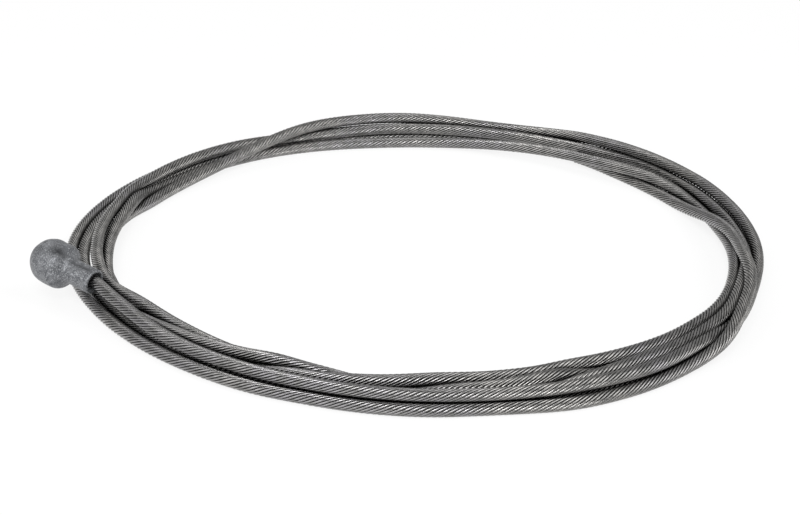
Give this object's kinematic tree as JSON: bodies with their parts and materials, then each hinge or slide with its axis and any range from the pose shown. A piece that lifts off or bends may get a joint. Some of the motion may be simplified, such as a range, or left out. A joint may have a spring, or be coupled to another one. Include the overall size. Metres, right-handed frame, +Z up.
{
  "type": "bicycle brake cable",
  "caption": "Bare steel inner brake wire wound into a flat round coil, with a domed cast head and neck on one end.",
  "frame": {"origin": "under the middle of the whole piece, on the surface that the coil lies on", "axes": "+Z up, square to the coil's flat underside; +X away from the head, along the longest side"},
  "size_m": [0.093, 0.09, 0.0078],
  "materials": {
    "steel_strand": "drawn bright wire, lightly dulled",
    "cast_zinc": "rough as-cast zinc"
  },
  "bodies": {
    "root": {"cable_coil": "steel_strand", "cable_lead": "steel_strand", "cable_head": "cast_zinc"}
  },
  "joints": []
}
